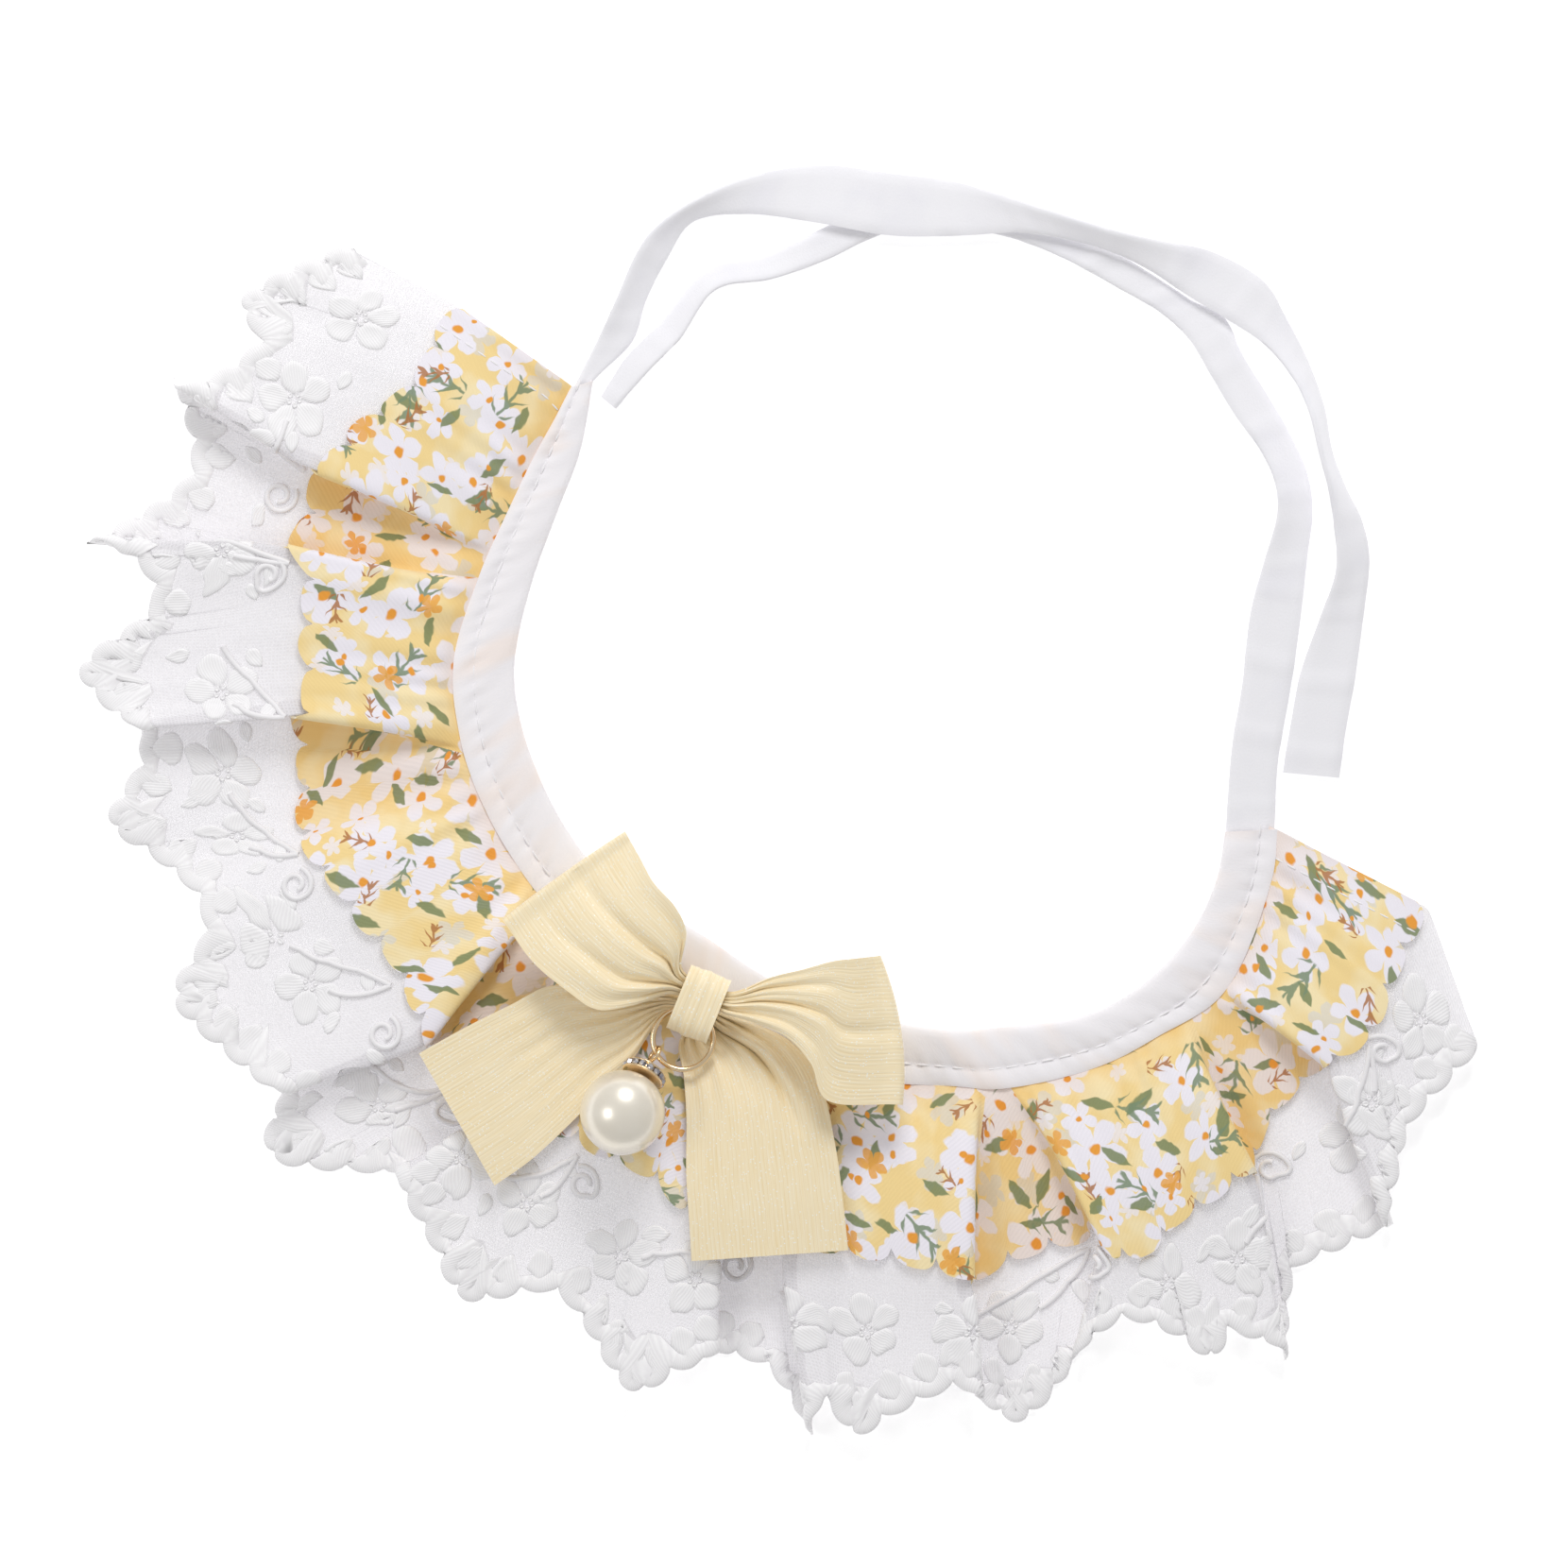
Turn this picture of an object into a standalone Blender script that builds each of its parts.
"""Cat collar laid flat: a tape neck band with two ties, two gathered ruffles, a bow and a charm.

Metres, +Z up. +X points to the right and +Y to the top as the collar lies, and the
origin is on the floor under the middle of its outline. Tables are in millimetres.
"""

import math

import bmesh
import bpy
import numpy as np

MM = 0.001
OUTLINE_MIDDLE = (0.2, 0.3)     # middle of the whole outline, in the tables' frame

CLOTH = 1.0                     # wall of every cloth layer
SEAM_GAP = 0.3                  # clear space between pieces
BAND_HEIGHT = 3.0               # the tape folded round the ruffles' top edges
BAND_SECTIONS = 44
LAYER_GAP = 0.5                 # clear height between the two ruffles
FLOOR_MIDDLE = CLOTH / 2        # middle of a cloth wall that lies on the floor
FLOOR_FLORAL = CLOTH + LAYER_GAP + CLOTH / 2
STEEPEST = 2.3                  # a wall's greatest upright thickness on a slope, in cloths
FOLD_RUN = 2.6                  # how far out a fold's foot lies from its top
FOLD_SEAM = 2.4                 # and how far apart they are at the seam
LACE_DEPTH = 2.35               # lace depth as a multiple of the floral depth

RUFFLE_STEP = 0.6               # spacing of the ruffles' curves along the seam
RUFFLE_SOFTENING = 20           # rounds that soften the two edges

FLORAL_LOBES = 60
LOBE_COLUMNS = 4                # columns of the wall to each small lobe
LOBE_BASE = 0.95                # depth between two lobes
LOBE_HEIGHT = 0.06
FLORAL_DEPTHS = (0.0, 0.12, 0.32, 0.62, 1.0)
LACE_DEPTHS = (0.0, 0.32, 0.62, 1.0, 1.6, LACE_DEPTH)

# The band's section: part of the way from its seam edge to its neck edge, and the height there.
BAND_PROFILE = (
    (0, 0),
    (0, 2.3),
    (0.06, 2.8),
    (0.3, 2.6),
    (0.6, BAND_HEIGHT),
    (0.93, 2.7),
    (1, 2.0),
    (1, 0),
)

BAND_STEP = 1.0
TIE_STEP = 4.4
LOOP_STEP = 3.6
TAIL_STEP = 4.0
CURVE_PARTS = 24                # fine points of a smooth curve between two rows of its table

LOOP_LINES = 6                  # lines of points across a loop
LOOP_START = 8.9                # under layer of a loop where it leaves the knot
LOOP_RISE = 3.0
LOOP_RISE_RATE = 9.0            # how soon the under layer has risen
LOOP_MOUTH = 1.9                # the two layers' distance at the knot
LOOP_PUFF = 3.6                 # and what the opening adds to it
LOOP_END = 0.9                  # and what the far end adds
FOLD_OUT = 0.5                  # reach of the round turn at a loop's far end, in steps
FOLD_TURNS = (40, 0, -40)       # degrees round that turn
TAIL_LINES = 7
TAIL_REST = 10.2                # middle of the bow tails above the floor
RUCK_HEIGHT = 0.35              # soft rucks of the ribbon next to the knot
RUCKS = 2.5
RUCK_FADE = 2.5

RING_CENTRE = (-18.1, -44.4)
RING_RADIUS = 5.6
RING_WIRE = 0.5
RING_REST = 11.2
EYE_CENTRE = (-22.7, -46.6)
EYE_RADIUS = 1.6
EYE_WIRE = 0.4
PEARL_CENTRE = (-29.3, -58.0)
PEARL_RADIUS = 7.9
PEARL_REST = 17.4
PEARL_RINGS = 12
RHINESTONE_RADIUS = 4.1
RHINESTONE_HEIGHT = 1.9
RHINESTONE_EDGE = 0.3
RHINESTONE_WAIST = 0.15
PIVOT_INSET = 1.0               # the ring lifts about a line this far inside its wire
EYE_CLEAR = 0.25                # clear space between the eye's wire and the jump ring's
STONE_CLEAR = 0.35
CAP_CLEAR = 0.3
CAP_NECK = (0.5, 0.6)           # radii of the post between the eye and its cap
CAP_RADIUS = 1.6
CAP_HEIGHT = 0.6

KNOT_CENTRE = (-15.2, -37.9)
KNOT_TILT = -22.0               # degrees, the bow's long direction from +X
KNOT_WIDTH = 8.0
KNOT_LENGTH = 12.6
KNOT_HEIGHT = 8.6
KNOT_REST = 10.7                # middle of the knot above the floor
KNOT_SIDES = 28
KNOT_STATIONS = ((-0.5, 1.04), (-0.2, 1.0), (0.2, 1.0), (0.5, 1.04))  # place along it and swell
KNOT_SQUARENESS = (0.7, 0.8)    # 1 is an ellipse, less is squarer

# Folds of both ruffles from the band's left end round to its right end, in mm.
# A fold_down drops to the valley in the next row, a fold_up rises from the one before.
# seam: distance along the seam; floral and lace: outer edge in plan and its lift off the floor.
FOLD_COLUMNS = ("kind", "seam", "floral_x", "floral_y", "floral_lift", "lace_x", "lace_y", "lace_lift")
FOLDS = [
    ("side_edge", 0, -60.5, 92, 2.5, -79.5, 102.5, 3),
    ("corner", 8, -64.5, 86, 4, -92, 97.5, 5),
    ("tip", 14, -66.5, 81, 5, -99.5, 92, 5),
    ("notch", 20, -71, 75.5, 5.5, -96.5, 85, 6),
    ("panel", 26, -79, 69.5, 6, -103.5, 79, 6.5),
    ("fold_down", 32.5, -87, 60.5, 6.5, -112, 76.5, 7),
    ("valley", 37, -89, 52, 0, -109, 60.5, 0),
    ("fold_up", 41.5, -92, 47.5, 6.5, -126.5, 48.5, 6.5),
    ("notch", 46, -89, 43, 7, -118, 43.5, 6),
    ("notch", 49, -88.5, 39, 6.5, -116, 36, 5),
    ("tip", 56, -89, 29, 6, -129, 25, 4),
    ("panel", 64, -88.5, 19.5, 6.5, -125, 18, 5),
    ("fold_down", 70, -90.5, 15, 7, -118.5, 13, 6.5),
    ("notch", 74.5, -89.5, 6.5, 0, -118.5, 6.5, 0),
    ("tip", 76.5, -89.5, 0.5, 0, -124, -4, 0),
    ("notch", 79, -89.5, -6, 1, -116, -10, 0),
    ("panel", 81, -87, -11.5, 4, -107.5, -18, 2.5),
    ("notch", 85, -82.5, -17, 5, -107, -26, 3),
    ("tip", 90, -77.5, -24, 5.5, -112, -36.5, 3),
    ("panel", 95.5, -72, -30.5, 6, -102, -47, 4.5),
    ("fold_down", 102.5, -65.5, -46, 7, -92, -54.5, 6),
    ("tip", 107, -62, -50.5, 0, -94.5, -65.5, 0),
    ("valley", 109, -58, -54, 0, -75.5, -68.5, 0),
    ("fold_up", 113.5, -54.5, -58, 6, -71.5, -69, 5),
    ("panel", 118, -47.5, -60, 6.5, -64, -82.5, 4),
    ("tip", 123.5, -40.5, -62.5, 6.5, -58.5, -92, 3),
    ("notch", 128.5, -33.5, -66, 6.5, -41.5, -91, 4),
    ("tip", 135.5, -24, -70.5, 6.5, -27.5, -109, 4),
    ("panel", 140, -18, -76.5, 7, -19.5, -105.5, 5.5),
    ("fold_down", 144.5, -11, -80, 6.5, -11.5, -102.5, 5),
    ("valley", 149, -6.5, -83, 0, -2.5, -104.5, 0),
    ("fold_up", 153.5, -0.5, -83.5, 5.5, 5, -116, 5.5),
    ("notch", 158.5, 6, -83.5, 6.5, 8.5, -111, 5),
    ("tip", 166, 13.5, -84.5, 6.5, 13.5, -117, 4),
    ("panel", 177, 22.5, -86, 6.5, 21.5, -113, 5),
    ("notch", 184, 28.5, -87.5, 7, 32, -108.5, 5.5),
    ("fold_down", 191.5, 36, -89.5, 7, 37.5, -111, 7),
    ("tip", 196, 44.5, -85, 0, 44.5, -114.5, 0),
    ("fold_up", 200.5, 59, -81.5, 5.5, 54.5, -103, 5),
    ("notch", 205.5, 63, -85.5, 6.5, 62.5, -96, 5.5),
    ("panel", 213.5, 70, -83, 6.5, 73, -98.5, 5.5),
    ("tip", 219, 73, -79, 6.5, 80, -103, 5),
    ("notch", 223, 77.5, -76, 6, 83, -98, 4),
    ("panel", 227.5, 82, -73, 6.5, 88, -99.5, 4),
    ("fold_down", 232, 88, -68.5, 6.5, 93.5, -102, 4.5),
    ("notch", 236.5, 90.5, -60, 0, 95, -87, 0),
    ("valley", 238, 95.5, -54, 0, 102.5, -83, 0),
    ("fold_up", 243, 100.5, -49.5, 5.5, 112, -79, 4),
    ("panel", 248.5, 106.5, -46.5, 6.5, 113.5, -70.5, 5),
    ("notch", 254.5, 111, -41.5, 6, 116, -60.5, 4),
    ("tip", 262.5, 113.5, -34.5, 5, 125.5, -49.5, 3),
    ("side_edge", 274, 120, -20, 2.5, 129.5, -45, 2.5),
]

# Neck band from its left end: outer (seam) edge and inner edge in plan.
BAND = [
    (-38.5, 76.5, -35, 77.5),
    (-41.5, 70.5, -36, 71),
    (-45, 64, -37.5, 64),
    (-50, 53.5, -41.5, 53.5),
    (-55.5, 41, -46.5, 39.5),
    (-60, 25.5, -49.5, 25),
    (-59, 12.5, -48.5, 15),
    (-56, 2.5, -45, 4.5),
    (-49.5, -10, -39.5, -6),
    (-40, -22, -32.5, -14.5),
    (-22, -33.5, -15, -25),
    (-10, -41, -4.5, -32),
    (2.5, -47, 6, -37.5),
    (18, -51.5, 21.5, -41.5),
    (32, -52.5, 32, -43),
    (40.5, -53, 39, -42.5),
    (58.5, -49, 56.5, -40),
    (69.5, -43.5, 67, -34.5),
    (81.5, -35.5, 76, -25),
    (90.5, -14.5, 81, -14.5),
    (91.5, -5.5, 82.5, -6),
]

# Ties from the band outwards: outer edge, inner edge, and the lift of each edge off what it lies on.
TIE_COLUMNS = ("outer_x", "outer_y", "inner_x", "inner_y", "outer_lift", "inner_lift")
LEFT_TIE = [
    (-37.3, 78.4, -34, 78.4, 0.6, 0),
    (-34, 85, -27.5, 85, 1, 0),
    (-30.5, 92.5, -25, 92.5, 3, 0),
    (-25, 104, -21, 100.5, 4, 0),
    (-17, 110.5, -16.5, 107, 4, 0),
    (-5.5, 115.5, -6.5, 108.5, 2, 0.6),
    (7.5, 117.5, 6, 107, 1, 1.8),
    (20.5, 116, 20.5, 104.5, 1.6, 1.9),
    (32, 114.5, 33.5, 104.5, 1.8, 1.9),
    (41, 112, 45, 105, 3, 1.9),
    (60, 106, 60, 102, 5, 1.7),
    (70.5, 103.5, 68.5, 98, 4, 1.7),
    (80, 101.5, 76, 93, 1.8, 1.8),
    (89.5, 96, 83.5, 88.5, 1.2, 1.9),
    (93.5, 89.5, 90, 84, 0.4, 2.4),
    (97.5, 81.5, 95, 78, 0, 4),
    (100.5, 73, 98, 72, 0, 5.5),
    (102, 64.5, 100, 64, 0, 6),
    (104.5, 58, 101.5, 58, 0, 5.5),
    (107.5, 52, 102.5, 51, 0, 4),
    (109, 45, 103, 43, 0, 3),
    (108, 34.5, 100, 34, 0, 1),
    (106.5, 23, 96.3, 23.5, 0, 0),
    (104.5, 11.5, 94.2, 12.5, 0, 0),
    (103.5, 4, 93, 5, 0, 0),
]
RIGHT_TIE = [
    (91.5, -4.5, 82.5, -5, 0, 0),
    (92.2, 7.5, 83.5, 9, 0, 0),
    (94.3, 19.5, 85.5, 21.5, 0, 0),
    (96.2, 32.5, 87, 34.5, 0, 0),
    (97.5, 44.5, 89.5, 44, 0, 0.6),
    (98.5, 53.5, 92, 53, 0, 2),
    (97.5, 60.5, 91.5, 59, 0, 2),
    (95, 66.5, 89, 64.5, 0, 1.5),
    (90.5, 74.5, 84, 71.5, 0, 1),
    (85.5, 82.5, 79.5, 79, 0, 0.8),
    (82, 89.5, 75.5, 85.5, 0, 0.5),
    (76, 92.5, 70, 90.5, 0, 0.2),
    (68.5, 97.5, 63, 94.5, 0, 0),
    (56.5, 104.5, 53, 100, 0, 0),
    (41, 109.5, 41, 104.5, 0, 0),
    (27.5, 111, 27.5, 106, 0, 0),
    (16, 109.5, 18, 104.5, 0, 0),
    (6, 105, 8.5, 100, 0, 0.3),
    (-2.5, 101, -1.5, 96.5, 0, 2),
    (-13, 98.5, -12, 94.5, 0, 3),
    (-22.5, 88, -19, 85, 0, 3),
    (-28.5, 82, -24, 80, 0, 3),
    (-31.5, 77.5, -28, 75.5, 0, 2),
    (-33.2, 74.6, -30.5, 72.5, 0, 1),
]

# Bow ribbons from the knot outwards: upper or left edge, lower or right edge, in plan.
LEFT_LOOP = [
    (-15.9, -33.9, -17.1, -36.8),
    (-18.5, -31.2, -20.6, -36),
    (-17.5, -24.5, -28, -38.2),
    (-19.5, -20, -34, -38.9),
    (-23.5, -15.5, -39.5, -35.5),
    (-26, -11, -46, -30),
    (-28.5, -6.5, -51, -23),
]
RIGHT_LOOP = [
    (-11.9, -35.5, -13, -38.2),
    (-8.4, -35.7, -10.2, -39.6),
    (-2, -33, -4.5, -41),
    (4, -31.5, 1.4, -43.4),
    (9.5, -30, 6, -49),
    (13.5, -29.5, 9, -56),
    (18, -29, 21.5, -56.5),
]
# Tails have one more column: the middle's height against TAIL_REST.
LEFT_TAIL = [
    (-17.2, -37.4, -18.3, -40.3, -1.5),
    (-20.6, -36.4, -21.8, -40.2, -1.4),
    (-32.5, -35.5, -27.5, -48, -0.4),
    (-42.5, -34.5, -32.5, -53, 0.1),
    (-50, -38, -37, -58, 0.2),
    (-59, -42.5, -46, -66.5, 0),
    (-67, -47, -53, -71.5, -0.6),
]
RIGHT_TAIL = [
    (-17, -41.5, -11, -39.5, -5.0),
    (-18.8, -45.3, -9, -41.9, -4.3),
    (-18, -51, 1, -45, -1.7),
    (-17.5, -58.5, 7, -51.5, -0.1),
    (-17.5, -69.5, 10, -63.5, 0.5),
    (-17, -77.5, 11.5, -74, 0.5),
    (-16.5, -85.5, 12.5, -83.5, 0),
]


def clear_scene():
    for item in list(bpy.data.objects):
        bpy.data.objects.remove(item, do_unlink=True)


def make_material(name, colour, roughness, metallic=0.0):
    material = bpy.data.materials.new(name)
    material.use_nodes = True
    shader = material.node_tree.nodes["Principled BSDF"]
    shader.inputs["Base Color"].default_value = (*colour, 1.0)
    shader.inputs["Roughness"].default_value = roughness
    shader.inputs["Metallic"].default_value = metallic
    material.diffuse_color = (*colour, 1.0)
    return material


def chord_curve(points, spacing):
    """A smooth curve through the points, read at even steps of about the given spacing."""
    points = np.array(points, dtype=float)
    steps = np.sqrt(np.linalg.norm(np.diff(points, axis=0), axis=1))
    knots = np.concatenate([[0.0], np.cumsum(steps)])
    slopes = np.gradient(points, knots, axis=0)
    fine = []
    for index, width in enumerate(np.diff(knots)):
        for part in np.linspace(0.0, 1.0, CURVE_PARTS, endpoint=False):
            start = (1 + 2 * part) * (1 - part) ** 2 * points[index]
            start = start + part * (1 - part) ** 2 * width * slopes[index]
            end = part ** 2 * (3 - 2 * part) * points[index + 1]
            end = end + part ** 2 * (part - 1) * width * slopes[index + 1]
            fine.append(start + end)
    fine.append(points[-1])
    return even_steps(np.array(fine), spacing)


def even_steps(fine, spacing):
    length = np.concatenate([[0.0], np.cumsum(np.linalg.norm(np.diff(fine, axis=0), axis=1))])
    count = max(2, round(length[-1] / spacing) + 1)
    wanted = np.linspace(0.0, length[-1], count)
    return np.stack([np.interp(wanted, length, column) for column in fine.T], axis=1)


def soften(curve, passes):
    """Rounds the curve's bends and keeps its two ends."""
    curve = curve.copy()
    for _ in range(passes):
        curve[1:-1] = 0.25 * curve[:-2] + 0.5 * curve[1:-1] + 0.25 * curve[2:]
    return curve


def seam_line():
    """The seam in plan: the band's outer edge, moved out by the seam gap."""
    outer = chord_curve([row[:2] for row in BAND], BAND_STEP)
    along = np.gradient(outer, axis=0)
    along /= np.linalg.norm(along, axis=1)[:, None]
    outward = np.stack([along[:, 1], -along[:, 0]], axis=1)
    return outer + SEAM_GAP * outward


def fold_rows():
    """The fold table, with a row at the foot of each fold where it drops to the floor."""
    rows = [dict(zip(FOLD_COLUMNS, row)) for row in FOLDS]
    result = []
    for index, row in enumerate(rows):
        if row["kind"] == "fold_up":
            result.append(fold_foot(row, rows[index - 1], -FOLD_SEAM))
        result.append(row)
        if row["kind"] == "fold_down":
            result.append(fold_foot(row, rows[index + 1], FOLD_SEAM))
    return result


def fold_foot(fold, valley, along):
    foot = {"kind": "foot", "seam": fold["seam"] + along, "floral_lift": 0, "lace_lift": 0}
    for edge in ("floral", "lace"):
        ways = [valley[edge + axis] - fold[edge + axis] for axis in ("_x", "_y")]
        distance = math.hypot(*ways)
        for axis, way in zip(("_x", "_y"), ways):
            foot[edge + axis] = fold[edge + axis] + way / distance * FOLD_RUN
    return foot


def ruffle_curves():
    """Seam, floral edge and lace edge of the folded ruffles, point for point."""
    rows = fold_rows()
    seam = seam_line()
    seam_at = np.concatenate([[0.0], np.cumsum(np.linalg.norm(np.diff(seam, axis=0), axis=1))])
    seam_scale = seam_at[-1] / rows[-1]["seam"]
    joined = []
    for row in rows:
        along = row["seam"] * seam_scale
        start = [np.interp(along, seam_at, seam[:, axis]) for axis in (0, 1)]
        floral = [row["floral_x"], row["floral_y"], FLOOR_FLORAL + row["floral_lift"]]
        lace = [row["lace_x"], row["lace_y"], FLOOR_FLORAL + row["lace_lift"]]
        joined.append([along] + start + floral + lace)
    curves = chord_curve(joined, RUFFLE_STEP)
    along = np.maximum.accumulate(curves[:, 0])
    seam_points = [np.interp(along, seam_at, seam[:, axis]) for axis in (0, 1)]
    seam_points.append(np.full(len(along), FLOOR_FLORAL))
    return (
        np.stack(seam_points, axis=1),
        soften(curves[:, 3:6], RUFFLE_SOFTENING),
        soften(curves[:, 6:9], RUFFLE_SOFTENING),
    )


def ruffle_point(curves, place, depth):
    """Middle of the floral layer; depth 0 is the seam and 1 the floral edge."""
    index = np.arange(len(curves[0]))
    seam, floral, lace = [
        np.stack([np.interp(place, index, curve[:, axis]) for axis in range(3)], axis=-1)
        for curve in curves
    ]
    inside = np.clip(np.asarray(depth), 0.0, 1.0)[..., None]
    beyond = np.clip((np.asarray(depth) - 1) / (LACE_DEPTH - 1), 0.0, 1.2)[..., None]
    point = seam + (floral - seam) * inside + (lace - floral) * beyond
    rise = inside * (2 - inside)
    fall = beyond * (2 - beyond)
    point[..., 2:] = seam[..., 2:] + (floral - seam)[..., 2:] * rise + (lace - floral)[..., 2:] * fall
    return point


def upright_thickness(curves, place, depth):
    """How many cloths thick a wall stands, measured upright, for its slope at each point."""
    along = ruffle_point(curves, place + 0.7, depth) - ruffle_point(curves, place - 0.7, depth)
    outward = ruffle_point(curves, place, depth + 0.02) - ruffle_point(curves, place, depth - 0.02)
    normal = np.cross(outward, along)
    upright = np.abs(normal[..., 2]) / np.linalg.norm(normal, axis=-1)
    return 1 / np.maximum(upright, 1 / STEEPEST)


def even_places(curve, count):
    """Positions that cut the curve into equal lengths."""
    length = np.concatenate([[0.0], np.cumsum(np.linalg.norm(np.diff(curve, axis=0), axis=1))])
    return np.interp(np.linspace(0.0, length[-1], count + 1), length, np.arange(len(curve)))


def build_object(name, vertices, faces, material, smooth=True, origin=(0.0, 0.0, 0.0)):
    mesh = bpy.data.meshes.new(name)
    points = [[(value - base) * MM for value, base in zip(vertex, origin)] for vertex in vertices]
    mesh.from_pydata(points, [], faces)
    shell = bmesh.new()
    shell.from_mesh(mesh)
    bmesh.ops.recalc_face_normals(shell, faces=shell.faces)
    shell.to_mesh(mesh)
    shell.free()
    if smooth:
        mesh.shade_smooth()
        mesh.set_sharp_from_angle(angle=math.radians(50))
    mesh.materials.append(material)
    item = bpy.data.objects.new(name, mesh)
    item.location = [(value - shift) * MM for value, shift in zip(origin, (*OUTLINE_MIDDLE, 0.0))]
    bpy.context.collection.objects.link(item)
    return item


def cloth_wall(name, upper, lower, material):
    """A closed wall between two grids of points, given as rows of columns."""
    rows, columns = upper.shape[:2]
    vertices = np.concatenate([upper.reshape(-1, 3), lower.reshape(-1, 3)])
    layer = rows * columns
    faces = []
    for row in range(rows - 1):
        for column in range(columns - 1):
            first = row * columns + column
            quad = (first, first + 1, first + columns + 1, first + columns)
            faces.append(quad)
            faces.append(tuple(layer + corner for corner in reversed(quad)))
    rim = [column for column in range(columns)]
    rim += [row * columns + columns - 1 for row in range(1, rows)]
    rim += [(rows - 1) * columns + column for column in range(columns - 2, -1, -1)]
    rim += [row * columns for row in range(rows - 2, 0, -1)]
    for start, end in zip(rim, rim[1:] + rim[:1]):
        faces.append((end, start, layer + start, layer + end))
    return build_object(name, vertices.tolist(), faces, material)


def ribbon_wall(name, middle, normals, material):
    """A wall of one cloth's thickness round a grid of middle points."""
    half = normals * CLOTH / 2
    return cloth_wall(name, middle + half, middle - half, material)


def grid_normals(middle):
    """Normals of a grid, taken from its neighbours."""
    normal = np.cross(np.gradient(middle, axis=1), np.gradient(middle, axis=0))
    normal /= np.linalg.norm(normal, axis=-1)[..., None]
    if normal[..., 2].mean() < 0:
        normal = -normal
    return normal


def ruffle_columns(curves):
    """Equal steps along the floral edge, shared by both ruffles so that they nest."""
    return even_places(curves[1], FLORAL_LOBES * LOBE_COLUMNS)


def lifted(points, height):
    result = points.copy()
    result[..., 2] = height
    return result


def floral_ruffle(curves, material):
    """Outer edge cut in small round lobes."""
    place = ruffle_columns(curves)
    phase = (np.arange(len(place)) % LOBE_COLUMNS) / LOBE_COLUMNS
    lobe = LOBE_BASE + LOBE_HEIGHT * np.sqrt(np.sin(np.pi * phase))
    depths = np.outer(FLORAL_DEPTHS, lobe)
    places = np.broadcast_to(place, depths.shape)
    middle = ruffle_point(curves, places, depths)
    thick = upright_thickness(curves, places, depths) * CLOTH
    above = middle[..., 2] + thick / 2
    below = np.maximum(middle[..., 2] - thick / 2, CLOTH + LAYER_GAP)
    cloth_wall("floral_ruffle", lifted(middle, above), lifted(middle, below), material)


def lace_ruffle(curves, material):
    """Nested under the floral ruffle and more than twice as deep."""
    place = ruffle_columns(curves)
    depths = np.outer(LACE_DEPTHS, np.ones(len(place)))
    places = np.broadcast_to(place, depths.shape)
    middle = ruffle_point(curves, places, depths)
    thick = upright_thickness(curves, places, depths)
    above = middle[..., 2] - thick * (CLOTH / 2 + LAYER_GAP)
    above = np.maximum(above, CLOTH)
    below = np.maximum(above - thick * CLOTH, 0.0)
    cloth_wall("lace_ruffle", lifted(middle, above), lifted(middle, below), material)


def neck_band(material):
    """Folded tape: flat below, soft edges, a shallow step where it meets the ruffles."""
    outer = chord_curve([row[:2] for row in BAND], BAND_STEP)
    inner = chord_curve([row[2:] for row in BAND], BAND_STEP)
    count = BAND_SECTIONS
    places = [np.linspace(0, len(edge) - 1, count + 1) for edge in (outer, inner)]
    edges = []
    for edge, place in zip((outer, inner), places):
        index = np.arange(len(edge))
        edges.append(np.stack([np.interp(place, index, edge[:, axis]) for axis in (0, 1)], axis=1))
    vertices = []
    for start, end in zip(*edges):
        for across, height in BAND_PROFILE:
            flat = start + (end - start) * across
            vertices.append((flat[0], flat[1], height))
    sides = len(BAND_PROFILE)
    faces = [tuple(range(sides)), tuple(count * sides + side for side in range(sides))]
    for row in range(count):
        for side in range(sides):
            after = (side + 1) % sides
            first = row * sides
            faces.append((first + side, first + after, first + sides + after, first + sides + side))
    build_object("neck_band", vertices, faces, material)


def tie(name, table, material):
    """A flat tape between its two edges, each lifted where the tape turns on edge."""
    rows = [dict(zip(TIE_COLUMNS, row)) for row in table]
    edges = []
    for row in rows:
        outer = [row["outer_x"], row["outer_y"], FLOOR_MIDDLE + row["outer_lift"]]
        inner = [row["inner_x"], row["inner_y"], FLOOR_MIDDLE + row["inner_lift"]]
        edges.append(outer + inner)
    run = chord_curve(edges, TIE_STEP)
    run[:, [2, 5]] = np.maximum(run[:, [2, 5]], FLOOR_MIDDLE)
    across = np.array([0.0, 1.0])
    middle = np.stack([run[:, :3] + (run[:, 3:] - run[:, :3]) * part for part in across])
    ribbon_wall(name, middle, grid_normals(middle), material)


def bow_loop(name, table, material):
    """Ribbon that leaves the knot on top, turns at the fold and comes back below."""
    run = chord_curve(table, LOOP_STEP)
    count = len(run)
    reach = np.linspace(0.0, 1.0, count)
    below = LOOP_START + LOOP_RISE * (1 - np.exp(-LOOP_RISE_RATE * reach))
    opening = np.sin(np.pi * np.clip(reach * 1.06, 0, 1) ** 1.1)
    above = below + LOOP_MOUTH + LOOP_PUFF * opening + LOOP_END * reach
    across = np.linspace(0.0, 1.0, LOOP_LINES)
    ruck = RUCK_HEIGHT * np.cos(RUCKS * 2 * np.pi * across)
    sections = []
    for height, order in ((above, range(count)), (below, range(count - 1, -1, -1))):
        for index in order:
            flat = run[index, 0:2] + np.outer(across, run[index, 2:4] - run[index, 0:2])
            fade = math.sin(math.pi * reach[index])
            sections.append(np.column_stack([flat, height[index] + fade * ruck]))
        if height is above:
            sections.extend(fold_end(run, above[-1], below[-1], across))
    middle = np.array(sections)
    ribbon_wall(name, middle, loop_normals(middle), material)


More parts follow.
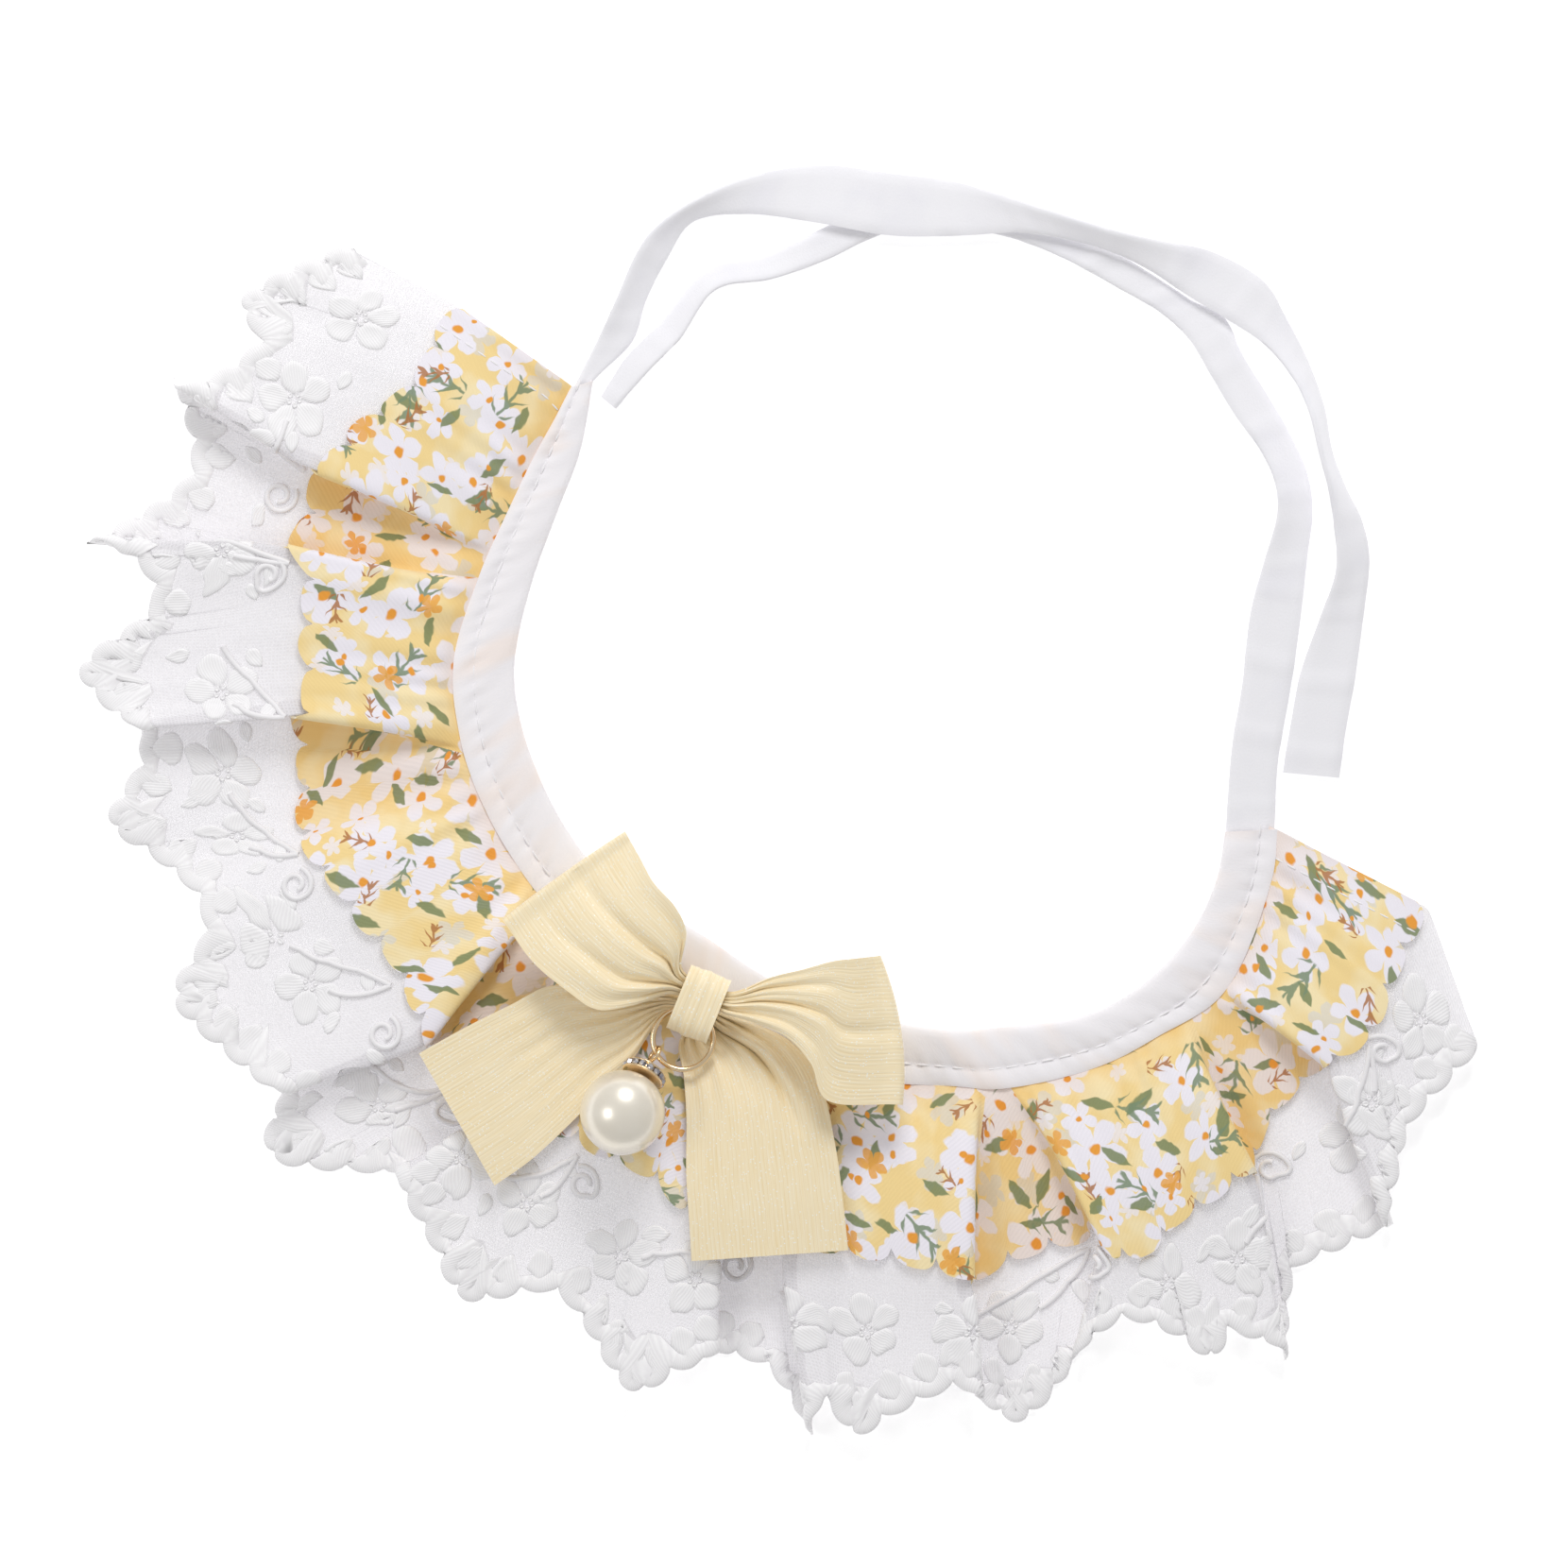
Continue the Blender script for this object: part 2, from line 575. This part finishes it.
def fold_end(run, above, below, across):
    """The round turn at the loop's far end."""
    along = run[-1] - run[-2]
    sections = []
    for turn in FOLD_TURNS:
        angle = math.radians(turn)
        out = FOLD_OUT * math.cos(angle)
        upper = run[-1, 0:2] + along[0:2] * out
        lower = run[-1, 2:4] + along[2:4] * out
        flat = upper + np.outer(across, lower - upper)
        height = (above + below) / 2 + (above - below) / 2 * math.sin(angle)
        sections.append(np.column_stack([flat, np.full(len(across), height)]))
    return sections


def loop_normals(middle):
    along = np.gradient(middle, axis=0)
    normal = np.cross(np.gradient(middle, axis=1), along)
    normal /= np.linalg.norm(normal, axis=-1)[..., None]
    return -normal if normal[0, :, 2].mean() < 0 else normal


def bow_tail(name, table, material):
    """Flat tail with soft rucks that fade away from the knot."""
    run = chord_curve(table, TAIL_STEP)
    across = np.linspace(0.0, 1.0, TAIL_LINES)
    reach = np.linspace(0.0, 1.0, len(run))
    middle = []
    for part in across:
        flat = run[:, 0:2] + (run[:, 2:4] - run[:, 0:2]) * part
        ruck = RUCK_HEIGHT * np.cos(RUCKS * 2 * np.pi * part) * np.exp(-RUCK_FADE * reach)
        middle.append(np.column_stack([flat, TAIL_REST + run[:, 4] + ruck]))
    middle = np.array(middle)
    ribbon_wall(name, middle, grid_normals(middle), material)


def bow_knot(material):
    """Ribbon wrapped once round the bow's middle: an open tube along the bow's long direction."""
    tilt = math.radians(KNOT_TILT)
    along = np.array([math.cos(tilt), math.sin(tilt)])
    up = np.array([-math.sin(tilt), math.cos(tilt)])
    steps = KNOT_SIDES
    vertices = []
    for half_extra in (0.0, -CLOTH):
        for station, swell in KNOT_STATIONS:
            for step in range(steps):
                angle = 2 * math.pi * step / steps
                round_x = math.copysign(abs(math.cos(angle)) ** KNOT_SQUARENESS[0], math.cos(angle))
                round_z = math.copysign(abs(math.sin(angle)) ** KNOT_SQUARENESS[1], math.sin(angle))
                across = (KNOT_LENGTH / 2 * swell + half_extra) * round_x
                height = KNOT_REST + (KNOT_HEIGHT / 2 * swell + half_extra) * round_z
                flat = np.array(KNOT_CENTRE) + along * station * KNOT_WIDTH + up * across
                vertices.append((flat[0], flat[1], height))
    rings = len(KNOT_STATIONS)
    faces = []
    for wall in range(2):
        for ring in range(rings - 1):
            for step in range(steps):
                after = (step + 1) % steps
                first = (wall * rings + ring) * steps
                faces.append((first + step, first + after, first + steps + after, first + steps + step))
    for ring in (0, rings - 1):
        for step in range(steps):
            after = (step + 1) % steps
            outer = ring * steps
            inner = (rings + ring) * steps
            faces.append((outer + step, outer + after, inner + after, inner + step))
    build_object("bow_knot", vertices, faces, material)


def direction_frame(axis):
    """Two unit vectors square to the given direction."""
    axis = np.array(axis, dtype=float)
    axis /= np.linalg.norm(axis)
    helper = np.array([0.0, 0.0, 1.0]) if abs(axis[2]) < 0.9 else np.array([1.0, 0.0, 0.0])
    side = np.cross(axis, helper)
    side /= np.linalg.norm(side)
    return axis, side, np.cross(axis, side)


def torus(centre, axis, radius, wire, segments, sides):
    axis, side, other = direction_frame(axis)
    vertices = []
    for segment in range(segments):
        angle = 2 * math.pi * segment / segments
        spoke = side * math.cos(angle) + other * math.sin(angle)
        for turn in range(sides):
            tilt = 2 * math.pi * turn / sides
            point = np.array(centre) + spoke * (radius + wire * math.cos(tilt))
            vertices.append(point + axis * wire * math.sin(tilt))
    faces = []
    for segment in range(segments):
        for turn in range(sides):
            after = (segment + 1) % segments
            beside = (turn + 1) % sides
            faces.append((segment * sides + turn, segment * sides + beside,
                          after * sides + beside, after * sides + turn))
    return vertices, faces


def turned(centre, axis, profile, segments):
    """Closed solid of revolution; the profile runs (distance along, radius) from pole to pole."""
    axis, side, other = direction_frame(axis)
    vertices = [np.array(centre) + axis * profile[0][0]]
    for along, radius in profile[1:-1]:
        for segment in range(segments):
            angle = 2 * math.pi * segment / segments
            spoke = side * math.cos(angle) + other * math.sin(angle)
            vertices.append(np.array(centre) + axis * along + spoke * radius)
    vertices.append(np.array(centre) + axis * profile[-1][0])
    last = len(vertices) - 1
    faces = []
    rings = len(profile) - 2
    for segment in range(segments):
        after = (segment + 1) % segments
        faces.append((0, 1 + segment, 1 + after))
        faces.append((last, last - segments + after, last - segments + segment))
        for ring in range(rings - 1):
            first = 1 + ring * segments
            faces.append((first + segment, first + segments + segment,
                          first + segments + after, first + after))
    return vertices, faces


def charm_frame():
    """Eye, drop direction (eye to pearl) and the wire's direction where the eye sits."""
    eye = np.array([*EYE_CENTRE, RING_REST])
    pearl = np.array([*PEARL_CENTRE, PEARL_REST])
    spoke = np.array([eye[0] - RING_CENTRE[0], eye[1] - RING_CENTRE[1], 0.0])
    spoke /= np.linalg.norm(spoke)
    eye = np.array([*RING_CENTRE, RING_REST]) + spoke * RING_RADIUS
    wire = np.cross([0.0, 0.0, 1.0], spoke)
    drop = (pearl - eye) / np.linalg.norm(pearl - eye)
    return eye, pearl, drop, wire


def charm_ring(material):
    """Jump ring that lies on the tails; its origin is on the wire under the knot."""
    tilt = math.radians(KNOT_TILT)
    up = np.array([-math.sin(tilt), math.cos(tilt), 0.0])
    centre = np.array([*RING_CENTRE, RING_REST])
    pivot = centre + up * (RING_RADIUS - PIVOT_INSET)
    vertices, faces = torus(centre, (0, 0, 1), RING_RADIUS, RING_WIRE, 32, 6)
    return build_object("charm_ring", vertices, faces, material, origin=tuple(pivot))


def pearl_drop(gold, stone, pearl_material):
    """Eye, gold cap, rhinestone ring and pearl; they swing as one on the jump ring."""
    eye, pearl, drop, wire = charm_frame()
    eye_axis = wire - drop * np.dot(wire, drop)
    eye_middle = eye + drop * (EYE_RADIUS - RING_WIRE - EYE_WIRE - EYE_CLEAR)
    vertices, faces = torus(eye_middle, eye_axis, EYE_RADIUS, EYE_WIRE, 20, 6)
    eye_loop = build_object("drop_eye", vertices, faces, gold, origin=tuple(eye))
    stone_at = pearl - drop * (PEARL_RADIUS + RHINESTONE_HEIGHT / 2 + STONE_CLEAR)
    cap_reach = np.linalg.norm(stone_at - eye_middle) - RHINESTONE_HEIGHT / 2 - CAP_CLEAR
    cap_start = EYE_RADIUS - EYE_WIRE / 2
    profile = [(cap_start, 0), (cap_start, CAP_NECK[0]), (cap_reach - CAP_HEIGHT - 0.1, CAP_NECK[1]),
               (cap_reach - CAP_HEIGHT, CAP_RADIUS), (cap_reach, CAP_RADIUS), (cap_reach, 0)]
    vertices, faces = turned(eye_middle, drop, profile, 16)
    cap = build_object("drop_cap", vertices, faces, gold, origin=tuple(eye))
    join_solids(eye_loop, cap)
    half = RHINESTONE_HEIGHT / 2
    rim = RHINESTONE_RADIUS
    edge = RHINESTONE_EDGE
    waist = rim - RHINESTONE_WAIST
    profile = [(-half, 0), (-half, rim - edge), (edge - half, rim), (-edge, waist),
               (edge, waist), (half - edge, rim), (half, rim - edge), (half, 0)]
    vertices, faces = turned(stone_at, drop, profile, 24)
    build_object("rhinestone_ring", vertices, faces, stone, origin=tuple(eye))
    turns = [math.pi * step / PEARL_RINGS for step in range(PEARL_RINGS + 1)]
    profile = [(-PEARL_RADIUS * math.cos(turn), PEARL_RADIUS * math.sin(turn)) for turn in turns]
    vertices, faces = turned(pearl, drop, profile, 22)
    build_object("pearl", vertices, faces, pearl_material, origin=tuple(eye))


def join_solids(keeper, other):
    """Fuses the second solid into the first."""
    union = keeper.modifiers.new("join", "BOOLEAN")
    union.operation = "UNION"
    union.solver = "EXACT"
    union.object = other
    bpy.context.view_layer.update()
    evaluated = keeper.evaluated_get(bpy.context.evaluated_depsgraph_get())
    mesh = bpy.data.meshes.new_from_object(evaluated)
    keeper.modifiers.clear()
    keeper.data = mesh
    bpy.data.objects.remove(other, do_unlink=True)


def main():
    clear_scene()
    tape = make_material("white cotton tape", (0.90, 0.87, 0.88), 0.8)
    print_cotton = make_material("yellow daisy print cotton", (0.93, 0.72, 0.28), 0.75)
    net = make_material("white embroidered net", (0.88, 0.86, 0.88), 0.8)
    ribbon = make_material("cream ribbed ribbon", (0.86, 0.76, 0.50), 0.55)
    gold = make_material("light gold plated wire", (0.86, 0.66, 0.36), 0.25, 1.0)
    stone = make_material("clear stones in gold", (0.70, 0.68, 0.62), 0.2, 0.4)
    pearl = make_material("ivory pearl", (0.88, 0.82, 0.70), 0.25)
    curves = ruffle_curves()
    neck_band(tape)
    tie("tie_left", LEFT_TIE, tape)
    tie("tie_right", RIGHT_TIE, tape)
    floral_ruffle(curves, print_cotton)
    lace_ruffle(curves, net)
    bow_loop("bow_loop_left", LEFT_LOOP, ribbon)
    bow_loop("bow_loop_right", RIGHT_LOOP, ribbon)
    bow_tail("bow_tail_left", LEFT_TAIL, ribbon)
    bow_tail("bow_tail_right", RIGHT_TAIL, ribbon)
    bow_knot(ribbon)
    charm_ring(gold)
    pearl_drop(gold, stone, pearl)


main()
